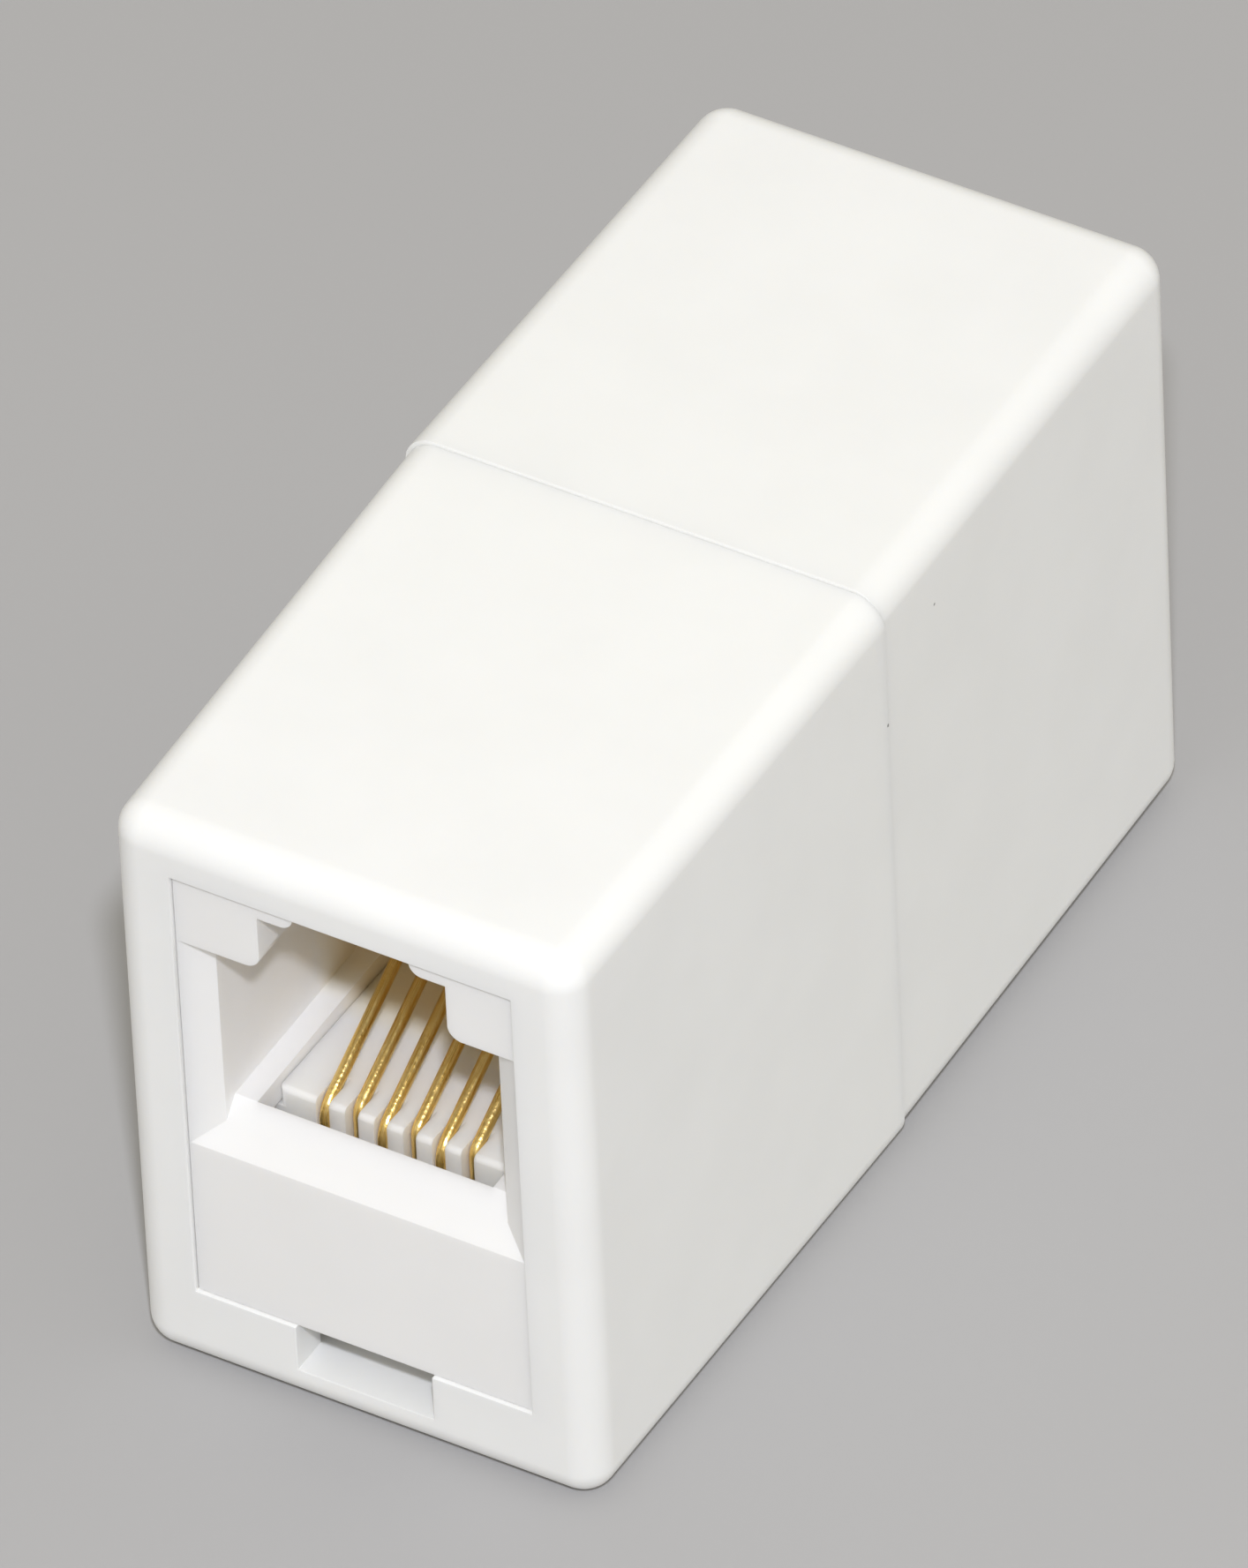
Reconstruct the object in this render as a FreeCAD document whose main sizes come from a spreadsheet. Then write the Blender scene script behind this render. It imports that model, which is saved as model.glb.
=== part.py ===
"""Six-way modular telephone inline coupler: two plug sockets, back to back in a white moulded case.

Frame: +Z up, +Y along the coupler from the front socket to the rear one, origin under its middle.
Each half is a case shell that traps a socket body (the jack). A contact block slides into the jack
from behind, and six round spring wires run from one socket to the other under both blocks.
The rear half holds the same mouldings as the front one, turned half a turn about Z.
"""

import FreeCAD, Part
import math
import os

import Sketcher

SIZES = {
    # plug socket
    "plug_width": 9.84,
    "plug_height": 6.88,
    "latch_width": 6.54,
    "latch_height": 2.09,
    "catch_width": 4.04,
    "catch_height": 0.56,
    "shoulder_radius": 0.5,
    "catch_radius": 0.45,
    "latch_offset": 0.29,
    "lead_width": 0.93,
    "lead_depth": 0.65,
    "sill_height": 1.42,
    "mouth_wall": 1.21,
    # jack body
    "cheek": 0.98,
    "flange_side": 0.65,
    "flange_top": 0.3,
    "jack_wall": 1.0,
    "chamber_height": 2.8,
    "shelf_width": 1.1,
    "ledge_thickness": 1.02,
    "latch_room": 0.1,
    # contact block
    "block_thickness": 2.65,
    "comb_depth": 2.57,
    "comb_drop": 0.36,
    "comb_fall": 0.4,
    "end_tooth": 1.5,
    "comb_gap": 0.08,
    "tooth_radius": 0.2,
    "slide_gap": 0.1,
    "slot_width": 0.46,
    "slot_depth": 0.78,
    "ramp_length": 0.6,
    "stop_depth": 12.6,
    "stop_thickness": 1.4,
    "tip_slot_depth": 0.9,
    # contact wires
    "pitch": 1.016,
    "wire_diameter": 0.4,
    "wire_inset": 0.17,
    "wire_set_back": 0.31,
    "bend_drop": 0.43,
    "bend_reach": 0.48,
    "set_back_bend_reach": 0.26,
    "lower_turn": 0.24,
    "contact_angle": 28.5,
    "tip_reach": 0.6,
    # case shells
    "shell_wall": 1.4,
    "end_wall": 1.4,
    "case_gap": 0.15,
    "window_gap": 0.03,
    "rail_height": 1.75,
    "rail_width": 1.2,
    "rail_inset": 1.5,
    "half_length": 18.7,
    "side_draft": 0.26,
    "top_draft": 0.24,
    "edge_radius": 1.1,
    "face_recess": 0.15,
    "slot_opening": 4.8,
    "lip_length": 1.5,
    "lip_thickness": 0.6,
    "lip_play": 0.14,
    "seam_shift": 0.09,
    "seam_lift": 0.11,
    "middle_gap": 0.05,
}
CONTACTS = 6
NEAR = 0.01  # how close an edge lies to its nominal place

doc = FreeCAD.newDocument("coupler")
sheet = doc.addObject("Spreadsheet::Sheet", "Sizes")
for row, (alias, number) in enumerate(SIZES.items(), start=1):
    sheet.set(f"A{row}", alias)
    sheet.set(f"B{row}", str(number))
    sheet.setAlias(f"B{row}", alias)
doc.recompute()


class Size:
    """A length that keeps both its number and the sheet expression behind it."""

    def __init__(self, number, text):
        self.number = number
        self.text = text

    def joined(self, sign, other, number):
        text = other.text if isinstance(other, Size) else str(other)
        return Size(number, f"({self.text} {sign} {text})")

    def __add__(self, other):
        return self.joined("+", other, self.number + plain(other))

    def __sub__(self, other):
        return self.joined("-", other, self.number - plain(other))

    def __mul__(self, other):
        return self.joined("*", other, self.number * plain(other))

    def __truediv__(self, other):
        return self.joined("/", other, self.number / plain(other))

    def __neg__(self):
        return Size(-self.number, f"(-1 * {self.text})")


def plain(value):
    return value.number if isinstance(value, Size) else value


def size(alias):
    return Size(SIZES[alias], f"Sizes.{alias}")


def sine(angle):
    """Sine of an angle in degrees."""
    return Size(math.sin(math.radians(angle.number)), f"sin({angle.text} * 1 deg)")


def cosine(angle):
    """Cosine of an angle in degrees."""
    return Size(math.cos(math.radians(angle.number)), f"cos({angle.text} * 1 deg)")


# Heights, from the table up.
case_floor = size("shell_wall")
jack_bottom = case_floor + size("rail_height")
chamber_floor = jack_bottom + size("jack_wall")
shelf_top = chamber_floor + size("chamber_height")
ledge_under = shelf_top + size("block_thickness") + size("slide_gap")
plug_floor = ledge_under + size("ledge_thickness")
shoulder = plug_floor + size("plug_height")
catch = shoulder + size("latch_height")
window_top = catch + size("catch_height")
jack_top = window_top + size("flange_top")
face_height = jack_top + size("case_gap") + size("shell_wall")
seam_height = face_height + size("top_draft")
comb_top = plug_floor - size("comb_drop")
bend_height = comb_top - size("bend_drop")
run_height = shelf_top + size("slot_depth") - size("wire_diameter") / 2 - size("slide_gap")

# Half widths, from the middle out.
plug_half = size("plug_width") / 2
nose_half = plug_half + size("cheek")
jack_half = nose_half + size("flange_side")
case_half = jack_half + size("case_gap")
face_half = case_half + size("shell_wall")
seam_half = face_half + size("side_draft")
chamber_half = jack_half - size("jack_wall")
lower_half = chamber_half - size("shelf_width")
comb_half = size("pitch") * ((CONTACTS - 1) / 2) + size("end_tooth")
floor_gap_half = comb_half + size("comb_gap")
latch_half = size("latch_width") / 2
catch_half = size("catch_width") / 2
channel_half = latch_half + size("latch_room")
latch_shift = size("latch_offset")

# Distances along Y. The front face is at -half_length and the seam is at 0.
front_face = -size("half_length")
panel = front_face + size("face_recess")
mouth_back = panel + size("mouth_wall")
case_front = front_face + size("end_wall")
comb_front = front_face + size("comb_depth")
stop_back = front_face + size("stop_depth")
stop_front = stop_back - size("stop_thickness")
tip_end = stop_front + size("tip_reach")
wire_front = comb_front + size("wire_inset")

# The wires rise towards the middle at one slope in both sockets.
slope = sine(size("contact_angle")) / cosine(size("contact_angle"))
tip_height = bend_height + (tip_end - wire_front) * slope


def set_size(thing, name, value):
    """Give a property its number and, where it comes from the sheet, its expression."""
    setattr(thing, name, plain(value))
    if isinstance(value, Size):
        thing.setExpression(name, value.text)


def new_body(label):
    body = doc.addObject("PartDesign::Body", label)
    body.Label = label
    return body


def new_sketch(body, name, plane, offset=None):
    """A sketch on one of the body's own planes; offset moves it along that plane's normal."""
    sketch = body.newObject("Sketcher::SketchObject", name)
    support = next(f for f in body.Origin.OriginFeatures if f.Role == plane)
    sketch.AttachmentSupport = [(support, "")]
    sketch.MapMode = "FlatFace"
    if offset is not None:
        sketch.AttachmentOffset = FreeCAD.Placement(
            FreeCAD.Vector(0, 0, offset.number), FreeCAD.Rotation()
        )
        sketch.setExpression("AttachmentOffset.Base.z", offset.text)
    return sketch


def pin_point(sketch, geometry, end, place):
    """Hold one point of the sketch at place, a pair of sizes; a plain 0 lies on the axis."""
    for kind, axis, value in (("DistanceX", -2, place[0]), ("DistanceY", -1, place[1])):
        if isinstance(value, Size):
            held = sketch.addConstraint(
                Sketcher.Constraint(kind, -1, 1, geometry, end, value.number)
            )
            sketch.setExpression(f"Constraints[{held}]", value.text)
        else:
            sketch.addConstraint(Sketcher.Constraint("PointOnObject", geometry, end, axis))


def vector(place):
    return FreeCAD.Vector(plain(place[0]), plain(place[1]), 0)


def draw_outline(sketch, corners):
    """A closed polygon through corners, with every corner held in place."""
    first = sketch.GeometryCount
    count = len(corners)
    for i in range(count):
        line = Part.LineSegment(vector(corners[i]), vector(corners[(i + 1) % count]))
        sketch.addGeometry(line, False)
    for i in range(count):
        following = first + (i + 1) % count
        sketch.addConstraint(Sketcher.Constraint("Coincident", first + i, 2, following, 1))
    for i in range(count):
        pin_point(sketch, first + i, 1, corners[i])


def mirrored(half):
    """Both sides of a symmetric outline, from its right half listed bottom to top."""
    return half + [(-x, z) for x, z in reversed(half)]


def rectangle(half_width, bottom, top):
    return mirrored([(half_width, bottom), (half_width, top)])


def stepped(lower, upper, shift):
    """A symmetric outline whose upper steps are moved sideways; each list is a right half."""
    right = [(x + shift, z) for x, z in upper]
    left = [(shift - x, z) for x, z in reversed(upper)]
    return lower + right + left + [(-x, z) for x, z in reversed(lower)]


def cross_section(body, name, at, outlines):
    """Outlines drawn across the coupler, in X and Z, at the distance at along Y; 0 is the seam."""
    sketch = new_sketch(body, name, "XZ_Plane", -at if isinstance(at, Size) else None)
    for corners in outlines:
        draw_outline(sketch, corners)
    return sketch


def extrude(body, name, kind, sketch, length, towards_rear):
    """A pad or pocket of a cross-section, towards the rear (+Y) or the front (-Y)."""
    feature = body.newObject(f"PartDesign::{kind}", name)
    feature.Profile = sketch
    set_size(feature, "Length", length)
    feature.Reversed = towards_rear if kind == "Pad" else not towards_rear
    sketch.Visibility = False
    return feature


def side_outline(body, name, corners, offset=None):
    """A closed outline in Y and Z."""
    sketch = new_sketch(body, name, "YZ_Plane", offset)
    draw_outline(sketch, corners)
    return sketch


def extrude_sideways(body, name, kind, sketch, width):
    """A pad or pocket of a side outline, width wide and centred on its plane."""
    feature = body.newObject(f"PartDesign::{kind}", name)
    feature.Profile = sketch
    set_size(feature, "Length", width)
    feature.Midplane = True
    return feature


def loft(body, name, kind, sections):
    feature = body.newObject(f"PartDesign::{kind}", name)
    feature.Profile = sections[0]
    feature.Sections = sections[1:]
    feature.Ruled = True
    return feature


def edges_where(feature, wanted):
    return [f"Edge{i}" for i, edge in enumerate(feature.Shape.Edges, start=1) if wanted(edge)]


def fillet(body, name, radius, wanted):
    """Round the edges of the body so far that wanted() picks."""
    doc.recompute()
    base = body.Tip
    feature = body.newObject("PartDesign::Fillet", name)
    feature.Base = (base, edges_where(base, wanted))
    set_size(feature, "Radius", radius)
    doc.recompute()
    return feature


def runs_along_y(edge, middle, half, height):
    """True for an edge along Y that lies at half either side of the middle, at height."""
    ends = [vertex.Point for vertex in edge.Vertexes]
    level = all(
        abs(abs(end.x - plain(middle)) - plain(half)) < NEAR
        and abs(end.z - plain(height)) < NEAR
        for end in ends
    )
    return level and len(ends) == 2 and abs(ends[0].y - ends[1].y) > NEAR


# Case shells --------------------------------------------------------------------------------


def make_shell(label, has_lip):
    """Half of the case: a drafted box, open at the seam, with a window for the jack in its end."""
    body = new_body(label)

    # The plan gives the sides their draft, and a wedge off the roof gives the top its own.
    plan = new_sketch(body, label + "_plan", "XY_Plane")
    draw_outline(plan, [
        (face_half, front_face), (seam_half, 0), (-seam_half, 0), (-face_half, front_face),
    ])
    block = body.newObject("PartDesign::Pad", label + "_block")
    block.Profile = plan
    set_size(block, "Length", seam_height)
    roof = side_outline(body, label + "_roof_outline", [
        (front_face, face_height), (0, seam_height), (front_face, seam_height),
    ])
    extrude_sideways(body, label + "_roof", "Pocket", roof, seam_half * 2)
    fillet(body, label + "_edges", size("edge_radius"), lambda edge: any(
        vertex.Point.y < -NEAR for vertex in edge.Vertexes
    ))

    hollow_top = face_height - size("shell_wall")
    hollow = cross_section(body, label + "_hollow_outline", 0, [
        rectangle(case_half, case_floor, hollow_top),
    ])
    hollow_length = size("half_length") - size("end_wall")
    extrude(body, label + "_hollow", "Pocket", hollow, hollow_length, False)

    slot_half = size("slot_opening") / 2
    window_half = nose_half + size("window_gap")
    window = cross_section(body, label + "_window_outline", front_face, [mirrored([
        (slot_half, case_floor),
        (slot_half, jack_bottom),
        (window_half, jack_bottom),
        (window_half, window_top),
    ])])
    extrude(body, label + "_window", "Pocket", window, size("end_wall"), True)

    rail_out = case_half - size("rail_inset")
    rail_in = rail_out - size("rail_width")
    right_rail = [
        (rail_in, case_floor), (rail_out, case_floor),
        (rail_out, jack_bottom), (rail_in, jack_bottom),
    ]
    left_rail = [(-x, z) for x, z in right_rail]
    rails = cross_section(body, label + "_rail_outlines", case_front, [right_rail, left_rail])
    extrude(body, label + "_rails", "Pad", rails, hollow_length, True)

    if has_lip:
        reach = size("lip_thickness")
        lip = cross_section(body, label + "_lip_outline", 0, [
            rectangle(case_half + reach, case_floor - reach, hollow_top + reach),
            rectangle(case_half, case_floor, hollow_top),
        ])
        extrude(body, label + "_lip", "Pad", lip, size("lip_length"), True)
    else:
        reach = size("lip_thickness") + size("lip_play")
        rebate = cross_section(body, label + "_rebate_outline", 0, [
            rectangle(case_half + reach, case_floor - reach, hollow_top + reach),
        ])
        depth = size("lip_length") + size("lip_play")
        extrude(body, label + "_rebate", "Pocket", rebate, depth, False)
    return body


# Jacks --------------------------------------------------------------------------------------


def make_jack(label):
    """Socket body: a nose that fills the case window, and a flanged tube that runs to the seam."""
    body = new_body(label)
    jack_front = case_front + size("middle_gap")
    jack_back = -size("middle_gap")

    tube = cross_section(body, label + "_tube_outline", jack_front, [
        rectangle(jack_half, jack_bottom, jack_top),
    ])
    extrude(body, label + "_tube", "Pad", tube, jack_back - jack_front, True)
    nose = cross_section(body, label + "_nose_outline", panel, [
        rectangle(nose_half, jack_bottom, window_top),
    ])
    extrude(body, label + "_nose", "Pad", nose, jack_front - panel, True)

    # One straight core from behind: latch channel, plug bore, floor gap, block slide, wire space.
    core = cross_section(body, label + "_core_outline", jack_back, [stepped([
        (lower_half, chamber_floor),
        (lower_half, shelf_top),
        (chamber_half, shelf_top),
        (chamber_half, ledge_under),
        (floor_gap_half, ledge_under),
        (floor_gap_half, plug_floor),
        (plug_half, plug_floor),
        (plug_half, shoulder),
    ], [
        (channel_half, shoulder),
        (channel_half, jack_top),
    ], latch_shift)])
    extrude(body, label + "_core", "Pocket", core, jack_back - mouth_back, False)

    # The plug's outline through the front wall, with the catch for its latch at the top.
    mouth = cross_section(body, label + "_mouth_outline", panel, [stepped([
        (plug_half, plug_floor),
        (plug_half, shoulder),
    ], [
        (latch_half, shoulder),
        (latch_half, catch),
        (catch_half, catch),
        (catch_half, window_top),
    ], latch_shift)])
    extrude(body, label + "_mouth", "Pocket", mouth, size("mouth_wall"), True)
    fillet(body, label + "_shoulders", size("shoulder_radius"),
           lambda edge: runs_along_y(edge, latch_shift, latch_half, shoulder))
    fillet(body, label + "_catches", size("catch_radius"),
           lambda edge: runs_along_y(edge, latch_shift, catch_half, catch))

    # Lead-in: a sloping sill below the plug, and bevels either side of it.
    sill = new_sketch(body, label + "_sill_outline", "YZ_Plane")
    draw_outline(sill, [
        (panel, plug_floor - size("sill_height")),
        (mouth_back, plug_floor),
        (panel, plug_floor),
    ])
    wedge = body.newObject("PartDesign::Pocket", label + "_sill")
    wedge.Profile = sill
    set_size(wedge, "Length", size("plug_width"))
    wedge.Midplane = True
    lead_rise = size("sill_height") * size("lead_depth") / size("mouth_wall")
    lead_out = cross_section(body, label + "_lead_out", panel, [rectangle(
        plug_half + size("lead_width"), plug_floor - size("sill_height"), shoulder,
    )])
    lead_in = cross_section(body, label + "_lead_in", panel + size("lead_depth"), [rectangle(
        plug_half, plug_floor - size("sill_height") + lead_rise, shoulder,
    )])
    loft(body, label + "_lead", "SubtractiveLoft", [lead_out, lead_in])
    return body


# Contact blocks -----------------------------------------------------------------------------


def make_block(label):
    """Contact block: a slide with the comb in front and the upright that closes the socket."""
    body = new_body(label)
    block_back = -size("middle_gap")
    slide_top = ledge_under - size("slide_gap")
    comb_back = comb_top - size("comb_fall")

    slide = side_outline(body, label + "_slide_outline", [
        (comb_front, shelf_top), (block_back, shelf_top),
        (block_back, slide_top), (comb_front, slide_top),
    ])
    extrude_sideways(body, label + "_slide", "Pad", slide, (chamber_half - size("slide_gap")) * 2)
    comb = side_outline(body, label + "_comb_outline", [
        (comb_front, shelf_top), (stop_back, shelf_top),
        (stop_back, comb_back), (stop_front, comb_back), (comb_front, comb_top),
    ])
    extrude_sideways(body, label + "_comb", "Pad", comb, comb_half * 2)
    fillet(body, label + "_tooth_ends", size("tooth_radius"), lambda edge: all(
        abs(abs(vertex.Point.x) - plain(comb_half)) < NEAR
        and abs(vertex.Point.y - plain(comb_front)) < NEAR
        for vertex in edge.Vertexes
    ))
    stop_half = plug_half - size("slide_gap")
    tongue_half = channel_half - size("slide_gap")
    stop = cross_section(body, label + "_stop_outline", stop_front, [stepped([
        (comb_half, slide_top),
        (comb_half, plug_floor + size("slide_gap")),
        (stop_half, plug_floor + size("slide_gap")),
        (stop_half, shoulder - size("slide_gap")),
    ], [
        (tongue_half, shoulder - size("slide_gap")),
        (tongue_half, jack_top),
    ], latch_shift)])
    extrude(body, label + "_stop", "Pad", stop, size("stop_thickness"), True)

    # One slot follows a wire: along below the block, up its front, and out through the comb's top.
    slot_back = comb_front + size("slot_depth")
    ramp_end = slot_back + size("ramp_length")
    clearance = size("slot_width") / 2 / cosine(size("contact_angle"))
    ramp_foot = bend_height + (slot_back - wire_front) * slope - clearance
    first_slot = -(size("pitch") * ((CONTACTS - 1) / 2))
    slot = side_outline(body, label + "_slot_outline", [
        (comb_front - size("slot_depth"), shelf_top - size("slot_depth")),
        (block_back + size("slot_depth"), shelf_top - size("slot_depth")),
        (block_back + size("slot_depth"), shelf_top + size("slot_depth")),
        (slot_back, shelf_top + size("slot_depth")),
        (slot_back, ramp_foot),
        (ramp_end, ramp_foot + size("ramp_length") * slope),
        (ramp_end, plug_floor + size("slot_depth")),
        (comb_front - size("slot_depth"), plug_floor + size("slot_depth")),
    ], first_slot)
    slots = extrude_sideways(body, label + "_slot", "Pocket", slot, size("slot_width"))
    repeat_per_contact(body, label + "_slots", slots)

    # The wires' free tips are guided by slots in the front of the upright.
    tip = side_outline(body, label + "_tip_outline", [
        (stop_front - size("slot_depth"), tip_height - size("tip_slot_depth") * 2),
        (stop_front + size("tip_slot_depth"), tip_height - size("tip_slot_depth") * 2),
        (stop_front + size("tip_slot_depth"), tip_height + size("tip_slot_depth")),
        (stop_front - size("slot_depth"), tip_height + size("tip_slot_depth")),
    ], first_slot)
    tips = extrude_sideways(body, label + "_tip_slot", "Pocket", tip, size("slot_width"))
    repeat_per_contact(body, label + "_tip_slots", tips)
    return body


def repeat_per_contact(body, name, feature):
    """Repeat a feature once per contact, a pitch apart along X."""
    pattern = body.newObject("PartDesign::LinearPattern", name)
    pattern.Originals = [feature]
    axis = next(f for f in body.Origin.OriginFeatures if f.Role == "X_Axis")
    pattern.Direction = (axis, [""])
    pattern.Occurrences = CONTACTS
    set_size(pattern, "Length", size("pitch") * (CONTACTS - 1))
    body.Tip = pattern


# Contact wires ------------------------------------------------------------------------------


def wire_end(set_back):
    """Runs and bends of a wire in the front socket, from its tip to the run below the block.

    Neighbours stand a step apart behind the comb's front, and the set-back ones bend more tightly.
    """
    upright = wire_front
    bend = bend_height
    reach = size("bend_reach")
    if set_back:
        upright = wire_front + size("wire_set_back")
        bend = bend_height + size("wire_set_back") * slope
        reach = size("set_back_bend_reach")
    angle = size("contact_angle")
    return [
        [(tip_end, tip_height)],
        [
            (upright + reach * cosine(angle), bend + reach * sine(angle)),
            (upright, bend),
            (upright, bend - reach),
        ],
        [(upright, run_height + size("lower_turn"))],
        [(upright + size("lower_turn"), run_height)],
    ]


def make_wire(label, number):
    """One round spring wire: up the slope of each socket, down behind both combs, along below."""
    body = new_body(label)
    lift = size("seam_lift")
    set_back = number % 2 == 1
    rear = [[(-y, z + lift) for y, z in reversed(step)] for step in wire_end(not set_back)]
    across = size("pitch") * (number - (CONTACTS - 1) / 2)
    spine = new_sketch(body, label + "_spine", "YZ_Plane", across)
    draw_bent_path(spine, wire_end(set_back) + rear[::-1])

    section = body.newObject("Sketcher::SketchObject", label + "_section")
    section.AttachmentSupport = [(spine, "Edge1")]
    section.MapMode = "NormalToEdge"
    circle = Part.Circle(FreeCAD.Vector(), FreeCAD.Vector(0, 0, 1), SIZES["wire_diameter"] / 2)
    section.addGeometry(circle, False)
    section.addConstraint(Sketcher.Constraint("Coincident", 0, 3, -1, 1))
    held = section.addConstraint(Sketcher.Constraint("Diameter", 0, SIZES["wire_diameter"]))
    section.setExpression(f"Constraints[{held}]", "Sizes.wire_diameter")

    pipe = body.newObject("PartDesign::AdditivePipe", label + "_pipe")
    pipe.Profile = section
    pipe.Spine = (spine, [])
    pipe.Transition = "Right corner"
    return body


def draw_bent_path(sketch, steps):
    """Straight runs from step to step; a step of three places is a smooth bend round its middle."""
    curves = []
    for i, step in enumerate(steps):
        if i:
            run = Part.LineSegment(vector(steps[i - 1][-1]), vector(step[0]))
            curves.append((sketch.addGeometry(run, False), steps[i - 1][-1]))
        if len(step) == 3:
            bend = Part.BSplineCurve()
            bend.buildFromPolesMultsKnots([vector(place) for place in step], [3, 3], [0, 1], False, 2)
            curves.append((sketch.addGeometry(bend, False), step[0]))
    for (curve, start), (following, _) in zip(curves, curves[1:]):
        pin_point(sketch, curve, 1, start)
        sketch.addConstraint(Sketcher.Constraint("Coincident", curve, 2, following, 1))
    pin_point(sketch, curves[-1][0], 1, curves[-1][1])
    pin_point(sketch, curves[-1][0], 2, steps[-1][-1])

    bends = [step for step in steps if len(step) == 3]
    splines = [curve for curve, _ in curves if "BSpline" in sketch.Geometry[curve].TypeId]
    for spline, (_, corner, _) in zip(splines, bends):
        pole = sketch.addGeometry(Part.Circle(vector(corner), FreeCAD.Vector(0, 0, 1), 1.0), True)
        sketch.addConstraint(Sketcher.Constraint(
            "InternalAlignment:Sketcher::BSplineControlPoint", pole, 3, spline, 1
        ))
        sketch.addConstraint(Sketcher.Constraint("Weight", pole, 1.0))
        pin_point(sketch, pole, 3, corner)


# Assembly -----------------------------------------------------------------------------------


def turn_to_rear(body, shift=0):
    """Turn a front piece half a turn about Z, and lift it by the step between the halves."""
    body.Placement = FreeCAD.Placement(
        FreeCAD.Vector(-plain(shift), 0, SIZES["seam_lift"]),
        FreeCAD.Rotation(FreeCAD.Vector(0, 0, 1), 180),
    )
    body.setExpression("Placement.Base.z", "Sizes.seam_lift")
    if isinstance(shift, Size):
        body.setExpression("Placement.Base.x", (-shift).text)


def shift_front(body, shift):
    """Move a front piece sideways."""
    body.Placement = FreeCAD.Placement(FreeCAD.Vector(shift.number, 0, 0), FreeCAD.Rotation())
    body.setExpression("Placement.Base.x", shift.text)


# The halves meet with a small step sideways; each jack goes with its shell, the blocks don't.
half_shift = size("seam_shift") / 2
front_shell = make_shell("front_shell", has_lip=True)
shift_front(front_shell, half_shift)
rear_shell = make_shell("rear_shell", has_lip=False)
turn_to_rear(rear_shell, half_shift)

front_jack = make_jack("front_jack")
shift_front(front_jack, half_shift)
rear_jack = make_jack("rear_jack")
turn_to_rear(rear_jack, half_shift)

front_block = make_block("front_contact_block")
rear_block = make_block("rear_contact_block")
turn_to_rear(rear_block)

wires = [make_wire(f"contact_wire_{i + 1}", i) for i in range(CONTACTS)]
doc.recompute()

parts = [front_shell, rear_shell, front_jack, rear_jack, front_block, rear_block] + wires
for thing in doc.Objects:
    if {"Invalid", "Error"} & set(thing.State):
        raise RuntimeError(f"{thing.Label} did not recompute: {thing.State}")
for body in parts:
    if body.Shape.isNull() or not body.Shape.isValid() or len(body.Shape.Solids) != 1:
        raise RuntimeError(f"{body.Label} is not one valid solid")

os.makedirs("parts", exist_ok=True)
for body in parts:
    body.Shape.exportStep(f"parts/{body.Label}.step")
    box = body.Shape.BoundBox
    print(f"{body.Label:22s} volume {body.Shape.Volume:9.3f}  x {box.XMin:7.3f} {box.XMax:7.3f}"
          f"  y {box.YMin:8.3f} {box.YMax:8.3f}  z {box.ZMin:7.3f} {box.ZMax:7.3f}")
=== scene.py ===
"""White inline coupler for telephone cords, dressed and lit around its CAD frame."""

import math

import bpy
from mathutils import Matrix, Vector

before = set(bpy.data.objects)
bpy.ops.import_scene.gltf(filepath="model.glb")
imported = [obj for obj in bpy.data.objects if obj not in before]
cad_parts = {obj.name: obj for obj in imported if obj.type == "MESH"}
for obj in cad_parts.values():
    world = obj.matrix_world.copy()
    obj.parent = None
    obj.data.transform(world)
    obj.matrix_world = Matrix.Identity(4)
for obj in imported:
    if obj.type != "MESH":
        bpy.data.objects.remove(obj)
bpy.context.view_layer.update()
MM = 0.001

# Camera ---------------------------------------------------------------------------------------
# A long lens from the front right, looking well down, rolled a little to the left. It aims a
# little to the side of the middle of the coupler, at half the height of its end.
scene = bpy.context.scene
scene.view_settings.view_transform = "Standard"

VIEW_AZIMUTH = math.radians(31.58)
VIEW_ELEVATION = math.radians(42.11)
VIEW_ROLL = math.radians(-2.85)
VIEW_DISTANCE = 786.5 * MM
AIM_RIGHT = -0.994 * MM
AIM_UP = 0.298 * MM
END_HEIGHT = 22.1 * MM
FOCAL_LENGTH = 588.3
SENSOR_SIZE = 36.0

back = Vector((
    math.sin(VIEW_AZIMUTH) * math.cos(VIEW_ELEVATION),
    -math.cos(VIEW_AZIMUTH) * math.cos(VIEW_ELEVATION),
    math.sin(VIEW_ELEVATION),
))
level = Vector((math.cos(VIEW_AZIMUTH), math.sin(VIEW_AZIMUTH), 0.0))
roll = Matrix.Rotation(VIEW_ROLL, 3, back)
right = roll @ level
up = roll @ back.cross(level)
aim = Vector((0.0, 0.0, END_HEIGHT / 2)) + right * AIM_RIGHT + up * AIM_UP
lens = bpy.data.cameras.new("camera")
lens.lens = FOCAL_LENGTH
lens.sensor_width = SENSOR_SIZE
lens.clip_start = 0.05
lens.clip_end = 20.0
camera = bpy.data.objects.new("camera", lens)
scene.collection.objects.link(camera)
camera.matrix_world = Matrix.Translation(aim + back * VIEW_DISTANCE) @ Matrix(
    (right, up, back)
).transposed().to_4x4()
scene.camera = camera

# Case shells ----------------------------------------------------------------------------------
# Two halves of one white ABS moulding, pushed together over the sockets and glued at the seam.
# Polished steel tooling leaves a soft, even gloss, with a faint orange peel in the surface.
# Every edge of a moulding has a tiny radius, so each one is eased a little.
CASE_EASING = 0.02 * MM
CASE_WHITE = [(0, "F3F3F0"), (20, "F3F3F1")]
RESIN_IOR = 1.54  # of ABS; polycarbonate's is close to it
CLOUD_SIZE = 4 * MM
PEEL_PITCH = 0.35 * MM
PEEL_HEIGHT = 0.0012 * MM
SAME_POINT = 0.0005 * MM
TINT_REACH = 20  # millimetres from the seam that a run of tints can cover


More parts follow.
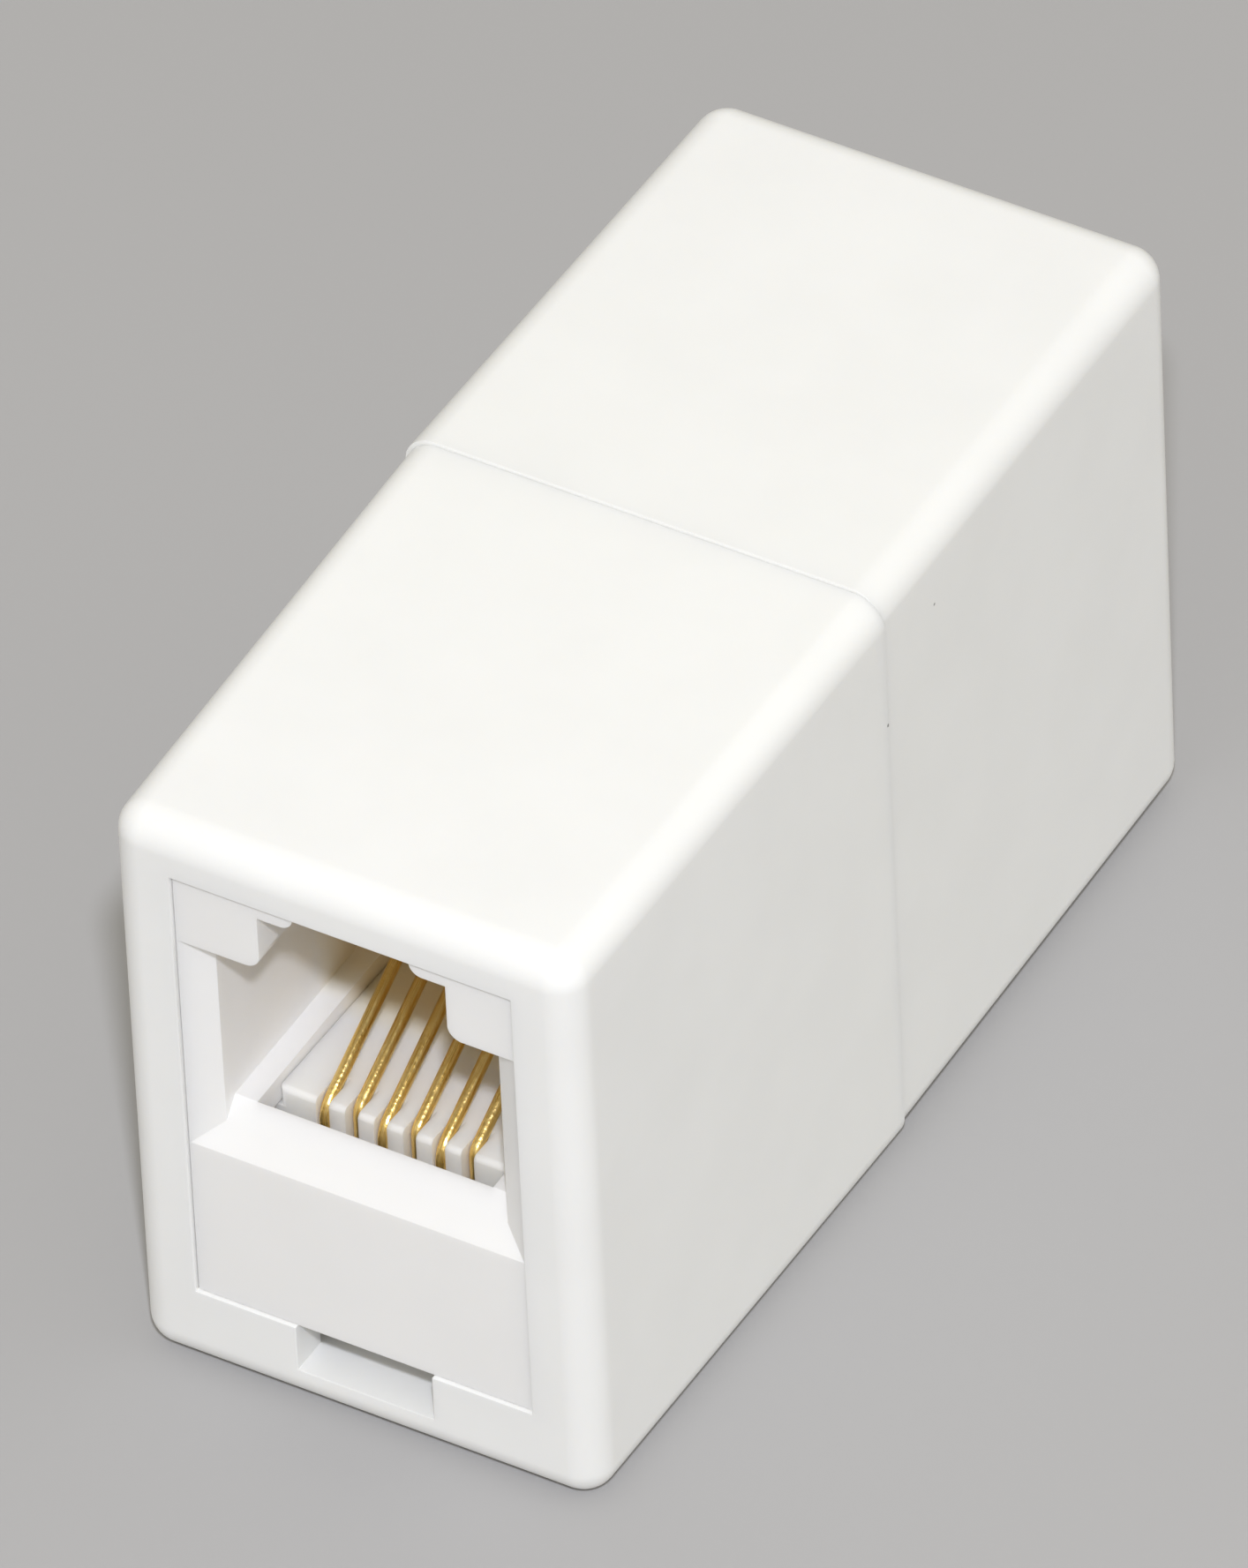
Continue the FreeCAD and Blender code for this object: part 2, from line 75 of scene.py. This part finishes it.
def linear(hex_colour):
    """An sRGB hex colour as linear red, green, blue and alpha."""
    channels = [int(hex_colour[i:i + 2], 16) / 255 for i in (0, 2, 4)]
    return [
        c / 12.92 if c <= 0.04045 else ((c + 0.055) / 1.055) ** 2.4 for c in channels
    ] + [1.0]


def add_node(tree, kind, settings=None, links=None):
    """Adds a node, sets its inputs or properties by name, and links its inputs to sockets."""
    node = tree.nodes.new(kind)
    for name, value in (settings or {}).items():
        if name in node.inputs:
            node.inputs[name].default_value = value
        else:
            setattr(node, name, value)
    for name, socket in (links or {}).items():
        tree.links.new(socket, node.inputs[name])
    return node


def moulded_plastic(name, tints_and_painted_light, mottling, roughness, scatter, scatter_reach):
    """A moulded plastic with faint flow mottling, orange peel and a little scattering.

    The list of tints gives its colour from the middle of the coupler outwards, as pairs of the
    distance from the seam in millimetres and an sRGB hex colour. For the jacks and the blocks
    it also paints light and shade by depth.
    """
    material = bpy.data.materials.new(name)
    material.use_nodes = True
    tree = material.node_tree
    shader = tree.nodes["Principled BSDF"]
    place = add_node(tree, "ShaderNodeTexCoord").outputs["Object"]
    along = add_node(tree, "ShaderNodeSeparateXYZ", links={"Vector": place}).outputs["Y"]
    from_seam = add_node(tree, "ShaderNodeMath", {"operation": "ABSOLUTE"})
    tree.links.new(along, from_seam.inputs[0])
    reach = add_node(
        tree, "ShaderNodeMapRange", {"From Max": TINT_REACH * MM},
        {"Value": from_seam.outputs["Value"]},
    )
    tone = add_node(tree, "ShaderNodeValToRGB", links={"Fac": reach.outputs["Result"]})
    stops = tone.color_ramp.elements
    while len(stops) < len(tints_and_painted_light):
        stops.new(0.5)
    for stop, (distance, colour) in zip(stops, tints_and_painted_light):
        stop.position = distance / TINT_REACH
        stop.color = linear(colour)
    # Flow mottling comes in soft clouds about 4 mm across, barely darker than the rest.
    clouds = add_node(
        tree, "ShaderNodeTexNoise", {"Scale": 1 / CLOUD_SIZE, "Detail": 2.0}, {"Vector": place}
    )
    dimming = add_node(
        tree, "ShaderNodeMapRange",
        {"From Min": 0.35, "From Max": 0.65, "To Min": 1 - mottling, "To Max": 1.0},
        {"Value": clouds.outputs["Fac"]},
    )
    shaded = add_node(
        tree, "ShaderNodeVectorMath", {"operation": "SCALE"},
        {"Vector": tone.outputs["Color"], "Scale": dimming.outputs["Result"]},
    )
    tree.links.new(shaded.outputs["Vector"], shader.inputs["Base Color"])
    # The orange peel has ripples about 0.35 mm apart and a few tenths of a micron high.
    peel = add_node(
        tree, "ShaderNodeTexNoise", {"Scale": 1 / PEEL_PITCH, "Detail": 1.0}, {"Vector": place}
    )
    relief = add_node(
        tree, "ShaderNodeBump", {"Strength": 0.6, "Distance": PEEL_HEIGHT},
        {"Height": peel.outputs["Fac"]},
    )
    tree.links.new(relief.outputs["Normal"], shader.inputs["Normal"])
    shader.inputs["Roughness"].default_value = roughness
    shader.inputs["IOR"].default_value = RESIN_IOR
    shader.inputs["Subsurface Weight"].default_value = scatter
    shader.inputs["Subsurface Radius"].default_value = (1.0, 0.95, 0.85)
    shader.inputs["Subsurface Scale"].default_value = scatter_reach
    return material


def smooth_skin(name):
    """Smooths a CAD piece's faces and joins the points that neighbouring faces share."""
    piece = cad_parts[name]
    for polygon in piece.data.polygons:
        polygon.use_smooth = True
    weld = piece.modifiers.new("weld", "WELD")
    weld.merge_threshold = SAME_POINT
    return piece


def ease_edges(name, width, angle):
    """Rounds a piece's edges that are sharper than angle by a moulding's small radius."""
    piece = smooth_skin(name)
    flats = piece.modifiers.new("flats", "DECIMATE")
    flats.decimate_type = "DISSOLVE"
    flats.angle_limit = math.radians(0.4)
    bevel = piece.modifiers.new("eased_edges", "BEVEL")
    bevel.width = width
    bevel.segments = 2
    bevel.limit_method = "ANGLE"
    bevel.angle_limit = math.radians(angle)
    bevel.use_clamp_overlap = True
    bevel.harden_normals = False
    normals = piece.modifiers.new("normals", "WEIGHTED_NORMAL")
    normals.keep_sharp = False
    normals.weight = 100


def finish_piece(name, material):
    """Gives a CAD piece its material in every slot."""
    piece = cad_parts[name]
    for slot in piece.material_slots:
        slot.material = material
    if not piece.material_slots:
        piece.data.materials.append(material)


case_abs = moulded_plastic("white_abs_case", CASE_WHITE, 0.02, 0.36, 0.35, 0.7 * MM)
# Three burnt specks, each about 0.1 mm across, show in the skin of the right wall.
SPECKS = ((8.315, 3.2, 19.7), (8.39, -0.05, 17.4), (8.405, -8.2, 7.5))
SPECK_CORE = 0.05 * MM
SPECK_RIM = 0.08 * MM
tree = case_abs.node_tree
colour = tree.nodes["Principled BSDF"].inputs["Base Color"]
place = add_node(tree, "ShaderNodeTexCoord").outputs["Object"]
for spot in SPECKS:
    away = add_node(
        tree, "ShaderNodeVectorMath", {"operation": "DISTANCE"}, {"Vector": place}
    )
    away.inputs[1].default_value = Vector(spot) * MM
    speck = add_node(
        tree, "ShaderNodeMapRange",
        {"From Min": SPECK_CORE, "From Max": SPECK_RIM, "To Min": 0.25},
        {"Value": away.outputs["Value"]},
    )
    darker = add_node(
        tree, "ShaderNodeVectorMath", {"operation": "SCALE"},
        {"Vector": colour.links[0].from_socket, "Scale": speck.outputs["Result"]},
    )
    tree.links.new(darker.outputs["Vector"], colour)
for shell in ("front_shell", "rear_shell"):
    ease_edges(shell, CASE_EASING, 35)
    finish_piece(shell, case_abs)

# Jacks ----------------------------------------------------------------------------------------
# The socket bodies are the same white ABS, moulded in a plainer tool and pushed into the case.
# Their colour changes with depth as painted light: the walls are painted a little whiter than
# the face to stand in for light inside the socket, and the deep end is painted warm, as painted
# shade standing in for light bounced off the gold wires and the creamy blocks.
JACK_EASING = 0.03 * MM
JACK_WHITE_AND_PAINTED_LIGHT = [(10.6, "F6E8CC"), (12.4, "FBFAF8"), (16.6, "FBFAF9"), (18.0, "F2F1EF")]
jack_abs = moulded_plastic("white_abs_jack", JACK_WHITE_AND_PAINTED_LIGHT, 0.015, 0.4, 0.4, 0.8 * MM)
for jack in ("front_jack", "rear_jack"):
    ease_edges(jack, JACK_EASING, 30)
    finish_piece(jack, jack_abs)

# Contact blocks -------------------------------------------------------------------------------
# Natural polycarbonate with hardly any pigment: creamy, waxy and a little see-through. Each is
# moulded in one piece with its comb, and slides into the jack from behind over the wires.
BLOCK_EASING = 0.05 * MM
# The deep end is painted amber: painted warm shade for the dim, bounced light deep in the
# socket.
BLOCK_CREAM_AND_PAINTED_SHADE = [(10.6, "F6E4BE"), (12.4, "FCFAF6"), (15.2, "FCFAF5"), (16.2, "FDF9F1")]
block_pc = moulded_plastic("natural_polycarbonate", BLOCK_CREAM_AND_PAINTED_SHADE, 0.015, 0.3, 0.7, 0.8 * MM)
for block in ("front_contact_block", "rear_contact_block"):
    ease_edges(block, BLOCK_EASING, 30)
    finish_piece(block, block_pc)

# Contact wires --------------------------------------------------------------------------------
# Hard phosphor-bronze wire, drawn round and gold plated over nickel: bright yellow metal with
# fine draw lines along it, so its highlights stretch and break up a little. Bent to shape, and
# held by the combs and the blocks.
GOLD_DEEP = "EDC265"
GOLD_BRIGHT = "FFE49C"
LINE_PITCH = 0.03 * MM
LINE_LENGTH = 3 * MM
LINE_FALL = 0.5 * MM
DIMPLE_PITCH = 0.15 * MM
DIMPLE_DEPTH = 0.02 * MM
gold = bpy.data.materials.new("gold_plated_bronze")
gold.use_nodes = True
tree = gold.node_tree
shader = tree.nodes["Principled BSDF"]
shader.inputs["Metallic"].default_value = 1.0
place = add_node(tree, "ShaderNodeTexCoord").outputs["Object"]
# Real draw lines are a few microns apart. These are drawn 0.03 mm apart, so that they show.
stretch = add_node(
    tree, "ShaderNodeMapping", {"Scale": (1 / LINE_PITCH, 1 / LINE_LENGTH, 1 / LINE_FALL)},
    {"Vector": place},
)
lines = add_node(
    tree, "ShaderNodeTexNoise", {"Scale": 1.0, "Detail": 2.0},
    {"Vector": stretch.outputs["Vector"]},
)
shine = add_node(
    tree, "ShaderNodeMapRange", {"To Min": 0.22, "To Max": 0.38},
    {"Value": lines.outputs["Fac"]},
)
tree.links.new(shine.outputs["Result"], shader.inputs["Roughness"])
tone = add_node(tree, "ShaderNodeValToRGB", links={"Fac": lines.outputs["Fac"]})
for stop, (position, tint) in zip(
    tone.color_ramp.elements, ((0.3, GOLD_DEEP), (0.7, GOLD_BRIGHT))
):
    stop.position = position
    stop.color = linear(tint)
tree.links.new(tone.outputs["Color"], shader.inputs["Base Color"])
# Bending marks the wire with dimples, which sparkle. They too are drawn coarser than real ones.
marks = add_node(
    tree, "ShaderNodeTexNoise", {"Scale": 1 / DIMPLE_PITCH, "Detail": 2.0}, {"Vector": place}
)
dimples = add_node(
    tree, "ShaderNodeBump", {"Strength": 1.0, "Distance": DIMPLE_DEPTH},
    {"Height": marks.outputs["Fac"]},
)
tree.links.new(dimples.outputs["Normal"], shader.inputs["Normal"])
for wire in sorted(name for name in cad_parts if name.startswith("contact_wire_")):
    smooth_skin(wire)
    finish_piece(wire, gold)

# Floor and lights -----------------------------------------------------------------------------
# A plain pale floor and an even pale sky. A soft lamp a little above the camera does most of
# the work, and two wide, weak ones lift the top and the right side.
FLOOR_SIDE = 6.0
SKY_STRENGTH = 0.59
LAMP_DISTANCE = 0.6
bpy.ops.mesh.primitive_plane_add(size=FLOOR_SIDE)
floor = bpy.context.object
floor.name = "floor"
paint = bpy.data.materials.new("pale_floor")
paint.use_nodes = True
coat = paint.node_tree.nodes["Principled BSDF"]
coat.inputs["Base Color"].default_value = linear("B0AFAF")
coat.inputs["Roughness"].default_value = 0.7
floor.data.materials.append(paint)

world = bpy.data.worlds.new("sky")
world.use_nodes = True
sky = world.node_tree.nodes["Background"]
sky.inputs["Color"].default_value = linear("FFFBF0")
sky.inputs["Strength"].default_value = SKY_STRENGTH
scene.world = world


def soft_lamp(name, azimuth, elevation, diameter, energy, colour):
    """A round soft lamp aimed at the coupler; azimuth turns from the front to the right."""
    data = bpy.data.lights.new(name, "AREA")
    data.shape = "DISK"
    data.size = diameter
    data.energy = energy
    data.color = linear(colour)[:3]
    azimuth, elevation = math.radians(azimuth), math.radians(elevation)
    towards = Vector((
        math.sin(azimuth) * math.cos(elevation),
        -math.cos(azimuth) * math.cos(elevation),
        math.sin(elevation),
    ))
    lamp = bpy.data.objects.new(name, data)
    lamp.location = aim + towards * LAMP_DISTANCE
    lamp.rotation_euler = towards.to_track_quat("Z", "Y").to_euler()
    scene.collection.objects.link(lamp)


soft_lamp("key_lamp", 32.5, 48, 0.03, 2.35, "F3F6FF")
soft_lamp("top_lamp", 180, 70, 0.4, 0.08, "FFFEFC")
soft_lamp("side_lamp", 112, 30, 0.4, 0.16, "FDFFFA")
